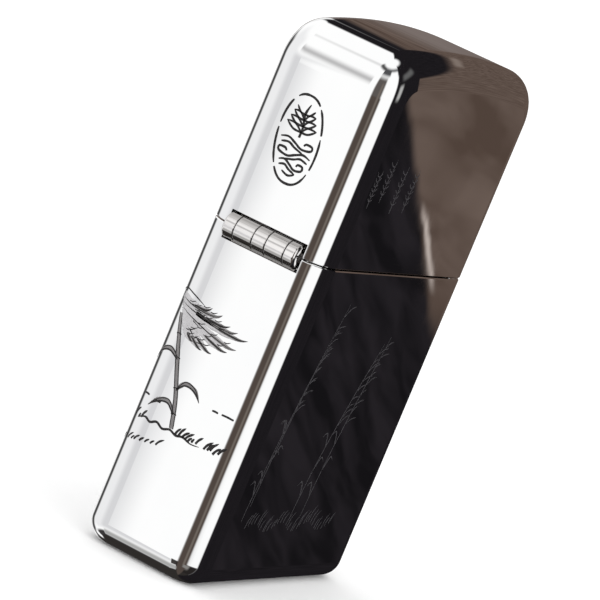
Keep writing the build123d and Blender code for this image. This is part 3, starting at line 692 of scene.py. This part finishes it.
def front_reeds():
    """Faint, shallow reeds on the front of the case and sprigs on the front of the lid."""
    faint_rise = 0.006
    bm = bmesh.new()
    rng = random.Random(11)
    stalks = [(10.9, 7.4, 4.6, 23.5), (11.6, 9.0, 3.2, 19.5)]
    stalks += [(22.2, 7.8, 5.6, 19.0), (24.6, 7.6, 4.2, 20.0)]
    for s, z, lean, height in stalks:
        line = [(s + lean * t**1.4, z + height * t) for t in (0, 0.25, 0.5, 0.75, 1)]
        stroke(bm, line, 0.2, (0.6, 0.3), faint_rise)
        for k in range(9):
            t = 0.52 + 0.052 * k
            foot = (s + lean * t**1.4, z + height * t)
            reach, drop = rng.uniform(1.0, 2.1), rng.uniform(0.3, 1.3)
            middle = (foot[0] + reach * 0.5, foot[1] + drop * 0.75)
            tip = (foot[0] + reach, foot[1] + drop)
            stroke(bm, [foot, middle, tip], 0.17, (0.7, 0.1), faint_rise)
        for k in range(3):
            t = 0.12 + 0.14 * k
            foot = (s + lean * t**1.4, z + height * t)
            side = 1 if k % 2 else -1
            leaf = [foot, (foot[0] + side * 0.8, foot[1] + 1.5), (foot[0] + side * 1.6, foot[1] + 1.1)]
            stroke(bm, leaf, 0.24, (0.7, 0.1), faint_rise)
    for k in range(34):
        s = 12.5 + 0.62 * k + rng.uniform(-0.2, 0.2)
        z = 6.6 + 0.5 * math.sin(k * 0.6)
        height = rng.uniform(0.7, 1.9)
        points = [(s, z), (s + height * 0.15, z + height * 0.6), (s + height * 0.5, z + height)]
        stroke(bm, points, 0.18, (0.8, 0.1), faint_rise)
    finish_engraving("case_front_etching", bm, "case", faint_etch)
    bm = bmesh.new()
    for s, z, height in ((9.6, 40.9, 4.0), (12.0, 41.6, 4.6), (15.4, 40.6, 5.0), (18.4, 40.8, 4.6)):
        stem = [(s, z), (s + 0.1, z + height * 0.5), (s + 0.45, z + height)]
        stroke(bm, stem, 0.2, (0.7, 0.2), faint_rise)
        for k in range(6):
            foot_z = z + height * (0.18 + 0.13 * k)
            for side in (1, -1):
                tip = (s + side * rng.uniform(0.45, 0.8), foot_z + rng.uniform(0.25, 0.5))
                barb = [(s + 0.05, foot_z), (s + side * 0.35, foot_z + 0.12), tip]
                stroke(bm, barb, 0.17, (0.8, 0.2), faint_rise)
    finish_engraving("lid_front_etching", bm, "lid", faint_etch)


lid_cartouche()
case_reed()
front_reeds()


# ------------------------------------------------------------------ pieces with their edges broken
def eased(node, body, material, width):
    """A copy of a CAD node with its sharp edges broken, in its place."""
    bm = bmesh.new()
    bm.from_mesh(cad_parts[node].data)
    bmesh.ops.remove_doubles(bm, verts=bm.verts, dist=1e-7)
    bmesh.ops.dissolve_limit(
        bm, angle_limit=math.radians(0.6), verts=bm.verts, edges=bm.edges, delimit={"NORMAL"}
    )
    obj = object_from_bmesh(node + "_eased", bm)
    ease = obj.modifiers.new("ease", "BEVEL")
    ease.width = width
    ease.segments = 2
    ease.limit_method = "ANGLE"
    ease.angle_limit = math.radians(38)
    ease.harden_normals = True
    ease.use_clamp_overlap = True
    apply_modifiers(obj)
    set_material(obj, material)
    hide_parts(node)
    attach(obj, body)


# ------------------------------------------------------------------ hinge
def arc_profile(centre, radius, start, end, steps=6):
    """Profile points with their normals along an arc, as (radius, along, normal pair)."""
    points = []
    for i in range(steps + 1):
        a = start + (end - start) * i / steps
        n = (math.cos(a), math.sin(a))
        points.append((centre[0] + radius * n[0], centre[1] + radius * n[1], n))
    return points


def knuckle(bm, normals, front, back, bore, front_round, back_round):
    """A turned hinge knuckle about the pin, with each face corner's exact normal."""
    right = math.pi / 2
    brake = 0.05 * MM
    profile = [(bore, front + brake, (-1, 0)), (bore, back - brake, (-1, 0)), None]
    profile += arc_profile((bore + brake, back - brake), brake, 2 * right, right, 3) + [None]
    profile += [(bore + brake, back, (0, 1)), (barrel_r - back_round, back, (0, 1)), None]
    profile += arc_profile((barrel_r - back_round, back - back_round), back_round, right, 0) + [None]
    profile += [(barrel_r, back - back_round, (1, 0)), (barrel_r, front + front_round, (1, 0)), None]
    profile += arc_profile((barrel_r - front_round, front + front_round), front_round, 0, -right) + [None]
    profile += [(barrel_r - front_round, front, (0, -1)), (bore + brake, front, (0, -1)), None]
    profile += arc_profile((bore + brake, front + brake), brake, -right, -2 * right, 3)
    steps = 72
    rings = {}
    for point in profile:
        if point is None:
            continue
        key = (round(point[0] * 1e7), round(point[1] * 1e7))
        if key not in rings:
            turns = [2 * math.pi * i / steps for i in range(steps)]
            rings[key] = [
                bm.verts.new((-half_w + point[0] * math.cos(t), point[1], seam_z + point[0] * math.sin(t)))
                for t in turns
            ]
    for start, end in zip(profile, profile[1:]):
        if start is None or end is None:
            continue
        ring_a = rings[(round(start[0] * 1e7), round(start[1] * 1e7))]
        ring_b = rings[(round(end[0] * 1e7), round(end[1] * 1e7))]
        if ring_a is ring_b:
            continue
        for i in range(steps):
            j = (i + 1) % steps
            corners = [(ring_a[i], start, i), (ring_a[j], start, j)]
            corners += [(ring_b[j], end, j), (ring_b[i], end, i)]
            face = bm.faces.new([c[0] for c in corners])
            wanted = []
            for _, point, k in corners:
                t = 2 * math.pi * k / steps
                radial, along = point[2]
                wanted.append(Vector((radial * math.cos(t), along, radial * math.sin(t))))
            face.normal_update()
            if face.normal.dot(sum(wanted, Vector())) < 0:
                face.normal_flip()
                wanted.reverse()
                first = face.loops[0].vert
                order = [c[0] for c in reversed(corners)]
                shift = order.index(first)
                wanted = wanted[shift:] + wanted[:shift]
            normals.append(wanted)


def hinge_knuckles(name, node, body, spans, bore):
    bm = bmesh.new()
    normals = []
    for front, back, front_round, back_round in spans:
        knuckle(bm, normals, front, back, bore, front_round, back_round)
    mesh = bpy.data.meshes.new(name)
    bm.to_mesh(mesh)
    bm.free()
    for poly in mesh.polygons:
        poly.use_smooth = True
    mesh.normals_split_custom_set([tuple(n) for face in normals for n in face])
    obj = new_object(name, mesh)
    set_material(obj, hinge_chrome)
    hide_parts(node)
    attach(obj, body)


def hinge_plate(name, body, side, spans):
    """The leaf behind the wall, its corners rounded, its roots reaching out to the knuckles."""
    half, corner, thick = 3.75 * MM, 1.0 * MM, 0.5 * MM
    near, far = 1.02 * MM, 7.5 * MM
    root_start, root_height = 0.95 * MM, 1.3 * MM
    back_x, face_x = -half_w + wall, -half_w + wall + thick
    outline = [(-half, near), (half, near)]
    for sign in (1, -1):
        arc = []
        for i in range(9):
            t = math.pi / 2 * i / 8
            arc.append((sign * (half - corner + corner * math.cos(t)), far - corner + corner * math.sin(t)))
        outline += arc if sign == 1 else list(reversed(arc))
    bm = bmesh.new()
    back = [bm.verts.new((back_x, y, seam_z + side * z)) for y, z in outline]
    face = [bm.verts.new((face_x, y, seam_z + side * z)) for y, z in outline]
    bridge(bm, back, face)
    bm.faces.new(back)
    bm.faces.new(face)
    plate = object_from_bmesh(name, bm, False)
    dimples = bmesh.new()
    for k in (-1, 0, 1):
        place = Matrix.Translation((face_x + 1.35 * MM, k * 2.8 * MM, seam_z + side * 5.6 * MM))
        bmesh.ops.create_icosphere(dimples, subdivisions=4, radius=1.45 * MM, matrix=place)
    cutter = object_from_bmesh("dimple_cutter", dimples)
    cut = plate.modifiers.new("dimples", "BOOLEAN")
    cut.object = cutter
    cut.solver = "EXACT"
    ease = plate.modifiers.new("ease", "BEVEL")
    ease.width = 0.05 * MM
    ease.segments = 2
    ease.limit_method = "ANGLE"
    ease.angle_limit = math.radians(50)
    apply_modifiers(plate)
    bpy.data.objects.remove(cutter)
    bm = bmesh.new()
    bm.from_mesh(plate.data)
    for front, rear, _, _ in spans:
        low_x, high_x = -half_w + root_start, face_x - 0.02 * MM
        box = bmesh.ops.create_cube(bm, size=1)["verts"]
        for v in box:
            v.co = Vector(
                (
                    (low_x + high_x) / 2 + v.co.x * (high_x - low_x),
                    (front + rear) / 2 + v.co.y * (rear - front - 0.02 * MM),
                    seam_z + side * (root_height / 2 + v.co.z * root_height),
                )
            )
    bmesh.ops.recalc_face_normals(bm, faces=bm.faces)
    bm.to_mesh(plate.data)
    bm.free()
    set_material(plate, hinge_chrome)
    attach(plate, body)


def knuckle_spans():
    """Each knuckle's front and back along the pin, and how far its two ends are rounded."""
    lengths = [1.3 * MM, 2.15 * MM, 1.5 * MM, 2.15 * MM, 1.3 * MM]
    gap, small, front_end, back_end = 0.08 * MM, 0.07 * MM, 0.34 * MM, 0.2 * MM
    y = -sum(lengths) / 2
    spans = []
    for i, length in enumerate(lengths):
        first, last = i == 0, i == len(lengths) - 1
        front = y if first else y + gap / 2
        back = y + length if last else y + length - gap / 2
        spans.append((front, back, front_end if first else small, back_end if last else small))
        y += length
    return spans


# from front to back, the knuckles belong to the case and the lid in turn
spans = knuckle_spans()
hinge_knuckles("case_knuckles", "case_hinge_leaf", "case", spans[0::2], 0.65 * MM)
hinge_knuckles("lid_knuckles", "lid_hinge_leaf", "lid", spans[1::2], 0.69 * MM)
hinge_plate("case_hinge_plate", "case", -1, spans[0::2])
hinge_plate("lid_hinge_plate", "lid", 1, spans[1::2])
eased("wind_guard", "case", insert_steel, 0.06 * MM)
eased("cam_lever", "cam", insert_steel, 0.08 * MM)
eased("flint_wheel", "wheel", wheel_steel, 0.03 * MM)


# ------------------------------------------------------------------ cotton, felt and wick
def remeshed(node, name, voxel):
    """A dense even skin over a CAD node's form, to be shaped as fibre."""
    bm = bmesh.new()
    bm.from_mesh(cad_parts[node].data)
    bmesh.ops.remove_doubles(bm, verts=bm.verts, dist=1e-7)
    obj = object_from_bmesh(name, bm)
    skin = obj.modifiers.new("skin", "REMESH")
    skin.mode = "VOXEL"
    skin.voxel_size = voxel
    skin.use_smooth_shade = True
    relax = obj.modifiers.new("relax", "SMOOTH")
    relax.factor = 0.5
    relax.iterations = 4
    apply_modifiers(obj)
    return obj


def sink(obj, depth_at):
    """Moves each vertex inwards by depth_at(its place), which is never negative."""
    mesh = obj.data
    inward = [v.normal.copy() for v in mesh.vertices]
    for v, n in zip(mesh.vertices, inward):
        v.co -= n * max(0.0, depth_at(v.co))
    mesh.update()


def fleece(seed, coarse, fine):
    """Depth of wadding: soft lumps with small tufts on them."""
    shift = Vector((seed * 7.3, seed * 3.1, seed * 5.7))

    def depth(p):
        lumps = 0.5 + 0.5 * noise.noise(p / (2.2 * MM) + shift)
        tufts = 0.5 + 0.5 * noise.noise(p / (0.55 * MM) - shift)
        return coarse * lumps + fine * tufts

    return depth


for number in range(1, 6):
    node = f"cotton_{number}"
    wad = remeshed(node, f"wad_{number}", 0.36 * MM)
    sink(wad, fleece(number, 0.30 * MM, 0.12 * MM))
    set_material(wad, cotton_fibre)
    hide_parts(node)
    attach(wad, "case")

felt = remeshed("felt_pad", "felt_wad", 0.28 * MM)
sink(felt, fleece(9, 0.06 * MM, 0.08 * MM))
set_material(felt, felt_fibre)
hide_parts("felt_pad")
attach(felt, "case")

wick_x, wick_top = 0.0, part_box("wick")[1].z
char_from, char_to = 40.5 * MM, 44.2 * MM


def braid_depth(p):
    """Diamond braid round the upright end of the wick, frayed at its tip."""
    turn = math.atan2(p.y, p.x - wick_x)
    climb = p.z / (1.05 * MM)
    diamonds = abs(math.sin(5 * turn + climb * math.pi)) * abs(math.sin(5 * turn - climb * math.pi))
    depth = 0.17 * MM * (1 - diamonds**0.6)
    fray = max(0.0, 1 - (wick_top - p.z) / (0.9 * MM))
    ragged = 0.5 + 0.5 * noise.noise(p / (0.32 * MM))
    return depth + fray * ragged * 0.55 * MM


wick = remeshed("wick", "braided_wick", 0.14 * MM)
sink(wick, braid_depth)
set_material(wick, charred_cotton(char_from, char_to))
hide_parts("wick")
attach(wick, "case")


def wick_wires():
    """Fine brass wires woven round the end of the wick."""
    bm = bmesh.new()
    wire, reach = 0.075 * MM, 1.42 * MM
    start, rise_over, turns = wick_top - 9 * MM, 8.7 * MM, 1.6
    for number in range(4):
        sign = 1 if number % 2 else -1
        rings = []
        for i in range(121):
            t = i / 120
            turn = number * math.pi / 2 + sign * 2 * math.pi * turns * t
            out = Vector((math.cos(turn), math.sin(turn), 0))
            bob = 0.05 * MM * math.sin(20 * turn)
            centre = Vector((wick_x, 0, start + t * rise_over)) + out * (reach + bob)
            ring = []
            for k in range(6):
                a = math.pi / 3 * k
                rise = Vector((0, 0, wire * math.sin(a)))
                ring.append(bm.verts.new(centre + out * wire * math.cos(a) + rise))
            rings.append(ring)
        for ring_a, ring_b in zip(rings, rings[1:]):
            bridge(bm, ring_a, ring_b)
        bm.faces.new(rings[0])
        bm.faces.new(rings[-1])
    wires = object_from_bmesh("wick_wires", bm)
    set_material(wires, turned_brass)
    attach(wires, "case")


wick_wires()


# ------------------------------------------------------------------ carried-over CAD nodes
node_materials = {
    "hinge_pin": pin_steel,
    "wheel_axle": rivet_steel,
    "cam_rivet": rivet_steel,
    "insert_sleeve": insert_steel,
    "insert_deck": insert_steel,
    "cam_spring": spring_steel,
    "flint_spring": spring_steel,
    "flint_tube": turned_brass,
    "flint_screw": turned_brass,
    "flint_plunger": turned_brass,
    "flint": flint_alloy,
}
for node_name, node_material in node_materials.items():
    set_material(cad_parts[node_name], node_material)


# ------------------------------------------------------------------ studio
def make_camera():
    """The photograph's camera, fitted to the lighter's outline and seam."""
    azimuth, elevation, roll = (math.radians(a) for a in (-67.11, 8.51, 22.60))
    distance, aim_height, aim_left = 490 * MM, 28.5 * MM, 1.87 * MM
    back = Vector((math.sin(azimuth), -math.cos(azimuth), 0)) * math.cos(elevation)
    back.z = math.sin(elevation)
    level = Vector((math.cos(azimuth), math.sin(azimuth), 0))
    upright = back.cross(level)
    right = math.cos(roll) * level + math.sin(roll) * upright
    up = math.cos(roll) * upright - math.sin(roll) * level
    aim = Vector((0, 0, aim_height)) - right * aim_left
    data = bpy.data.cameras.new("camera")
    data.lens = 292.7
    data.sensor_width = 36
    data.clip_start = 0.01
    data.clip_end = 50
    camera = bpy.data.objects.new("camera", data)
    bpy.context.scene.collection.objects.link(camera)
    turn = Matrix((right, up, back)).transposed().to_4x4()
    camera.matrix_world = Matrix.Translation(aim + back * distance) @ turn
    bpy.context.scene.camera = camera


# Each layer: azimuths from +X towards +Y, elevations, the softness of both (degrees), and a colour.
# A later layer lies over the ones before it.
STUDIO = [
    ((100, 156.1), (-30, 10), (0.30, 9), (0.71, 0.71, 0.725)),  # dim wall at the hinge side
    ((72, 126), (-30, 40), (14, 10), (0.90, 0.90, 0.91)),
    ((138, 158), (20, 31), (3, 8), (0.46, 0.455, 0.46)),  # a bar across it, above
    ((82, 136), (-66, -43), (6, 5), (0.045, 0.043, 0.043)),
    ((136, 190), (-61, -37), (5, 8), (0.42, 0.42, 0.415)),  # table's front edge
    ((157.2, 190), (-36, -14), (0.6, 2), (0.05, 0.045, 0.042)),
    ((-190, -97), (-190, -13.5), (3, 2.5), (0.022, 0.019, 0.018)),  # dark below the softbox
    ((-152, -128), (-40, -13), (6, 8), (0.17, 0.16, 0.15)),
    ((-190, -150), (-55, -41), (6, 4), (0.28, 0.27, 0.26)),
    ((-190, 190), (-190, -60), (3, 3), (0.03, 0.027, 0.025)),  # straight below
    ((128, 190), (60, 70), (10, 4), (0.09, 0.09, 0.09)),
    ((-190, -60), (50, 70), (8, 6), (0.085, 0.085, 0.09)),
    ((-178, -143), (-13, 44), (4, 9), (0.11, 0.098, 0.092)),  # the gap round the camera
    ((-176, -141), (-190, -3), (4, 3), (0.085, 0.066, 0.056)),
    ((-156, -149), (-20, 30), (3, 6), (0.17, 0.145, 0.125)),
    ((-153, -130), (-33, -18), (5, 3.5), (0.25, 0.24, 0.23)),  # light on the table's near corner
    ((-137, -101), (-13, 62), (4, 5), (1.06, 1.06, 1.06)),  # softbox
    ((-98, 39), (-190, 76), (3, 5), "flag"),  # black flag before the front
    ((-85, -73), (1, 24), (4, 5), (0.45, 0.45, 0.44)),
    ((-78, -38), (33, 46), (8, 5), (0.12, 0.12, 0.12)),
    ((27, 45), (-30, 26), (2, 4), (0.9, 0.9, 0.9)),
    ((50, 76), (-40, 12), (6, 6), (0.065, 0.065, 0.065)),
    ((10, 60), (-190, -36), (5, 3), (0.03, 0.027, 0.025)),  # floor past the far end
]


def view_angles(tree):
    """The azimuth and elevation of a direction, in degrees."""
    coords = tree.nodes.new("ShaderNodeTexCoord")
    split = tree.nodes.new("ShaderNodeSeparateXYZ")
    tree.links.new(coords.outputs["Generated"], split.inputs["Vector"])
    turn = math_node(tree, "ARCTAN2", split.outputs["Y"], split.outputs["X"])
    lift = math_node(tree, "ARCSINE", split.outputs["Z"])
    return times(tree, turn, 180 / math.pi), times(tree, lift, 180 / math.pi)


def streaks(tree, azimuth, elevation, across, upward, slope):
    """Noise in degrees: the flat faces see a very small part of the studio, so it is fine."""
    place = tree.nodes.new("ShaderNodeCombineXYZ")
    slanted = add(tree, elevation, times(tree, azimuth, slope))
    tree.links.new(times(tree, azimuth, across), place.inputs["X"])
    tree.links.new(times(tree, slanted, upward), place.inputs["Y"])
    tex = tree.nodes.new("ShaderNodeTexNoise")
    tex.inputs["Scale"].default_value = 1.0
    tex.inputs["Detail"].default_value = 2.5
    tex.inputs["Distortion"].default_value = 0.6
    tree.links.new(place.outputs["Vector"], tex.inputs["Vector"])
    return tex.outputs["Fac"]


def studio_layers(tree, azimuth, elevation):
    folds = map_range(tree, streaks(tree, azimuth, elevation, 1.6, 2.4, 1.1), 0.0, 1.0, 0.38, 0.66)
    flag = mix_color(tree, folds, (0.0075, 0.0068, 0.0080), (0.0185, 0.0160, 0.0190))
    color = (1.06, 1.06, 1.06)
    for azimuths, elevations, softness, tint in STUDIO:
        across = band(tree, azimuth, *azimuths, softness[0])
        upward = band(tree, elevation, *elevations, softness[1])
        tint = flag if tint == "flag" else tint
        color = mix_color(tree, times(tree, across, upward), color, tint)
    return color


def brown_screen(tree, azimuth, elevation, color):
    """Adds a brown screen past the front: the lid's front shows its slanted edge, the crown its arch."""
    grain = map_range(tree, streaks(tree, azimuth, elevation, 0.9, 1.5, 0.2), 0.0, 1.0, 0.35, 0.68)
    brown = mix_color(tree, grain, (0.085, 0.058, 0.046), (0.150, 0.110, 0.092))
    slope, edge_azimuth, edge_elevation = 1.84, -22.15, -6.7
    slanted = add(tree, elevation, times(tree, azimuth, slope))
    edge = add(tree, slanted, -edge_elevation - slope * edge_azimuth)
    arch = add(tree, elevation, times(tree, times(tree, azimuth, azimuth), 0.02))
    mask = map_range(tree, edge, 0.0, 1.0, -0.12, 0.12, True)
    mask = times(tree, mask, band(tree, azimuth, -26.5, 26, 2.5))
    mask = times(tree, mask, map_range(tree, arch, 1.0, 0.0, 25, 27, True))
    mask = times(tree, mask, map_range(tree, elevation, 0.0, 1.0, -8.5, -7.9, True))
    color = mix_color(tree, mask, color, brown)
    glint = times(tree, band(tree, edge, 0.05, 0.16, 0.06), band(tree, elevation, -7.75, -7.0, 0.15))
    color = mix_color(tree, glint, color, (0.52, 0.45, 0.41))
    paler = times(tree, band(tree, azimuth, 21.4, 40, 1.2), band(tree, elevation, -6, 9, 3.5))
    color = mix_color(tree, times(tree, paler, 0.75), color, (0.215, 0.180, 0.168))
    crest = times(tree, band(tree, arch, 24.2, 25.4, 0.5), band(tree, azimuth, -5, 11, 3))
    return mix_color(tree, crest, color, (0.22, 0.175, 0.15))


def make_world():
    """A white studio with flags and softboxes, seen only in reflections."""
    world = bpy.data.worlds.new("studio")
    bpy.context.scene.world = world
    world.use_nodes = True
    tree = world.node_tree
    azimuth, elevation = view_angles(tree)
    color = brown_screen(tree, azimuth, elevation, studio_layers(tree, azimuth, elevation))
    # diffuse surfaces and the camera see an even white studio
    path = tree.nodes.new("ShaderNodeLightPath")
    fill = mix_color(tree, path.outputs["Is Camera Ray"], (1.22, 1.22, 1.22), (1.0, 1.0, 1.0))
    seen = mix_color(tree, path.outputs["Is Glossy Ray"], fill, color)
    tree.links.new(seen, tree.nodes["Background"].inputs["Color"])


def make_floor():
    bm = bmesh.new()
    bmesh.ops.create_grid(bm, x_segments=8, y_segments=8, size=6)
    floor = object_from_bmesh("studio_floor", bm)
    material, tree, shader = nodes_of("studio_floor")
    shader.inputs["Roughness"].default_value = 0.8
    shader.inputs["Specular IOR Level"].default_value = 0.0
    mottle = add_noise(tree, 2.0, 2)
    pale = mix_color(tree, mottle.outputs["Fac"], (0.965, 0.965, 0.965), (0.975, 0.975, 0.975))
    tree.links.new(pale, shader.inputs["Base Color"])
    set_material(floor, material)
    floor.visible_glossy = False
    floor.location.z = cad_box[0].z


def make_light():
    """A weak softbox that only shapes the rough metal: the studio does the rest."""
    data = bpy.data.lights.new("softbox", "AREA")
    data.energy = 0.5
    data.size = 0.6
    data.color = (1.0, 0.99, 0.98)
    softbox = bpy.data.objects.new("softbox", data)
    bpy.context.scene.collection.objects.link(softbox)
    softbox.location = (-0.45, -0.55, 0.8)
    softbox.rotation_mode = "QUATERNION"
    softbox.rotation_quaternion = (softbox.location - Vector((0, 0, 0.03))).to_track_quat("Z", "Y")
    softbox.visible_glossy = False


make_camera()
make_world()
make_floor()
make_light()
bpy.context.scene.view_settings.view_transform = "Standard"
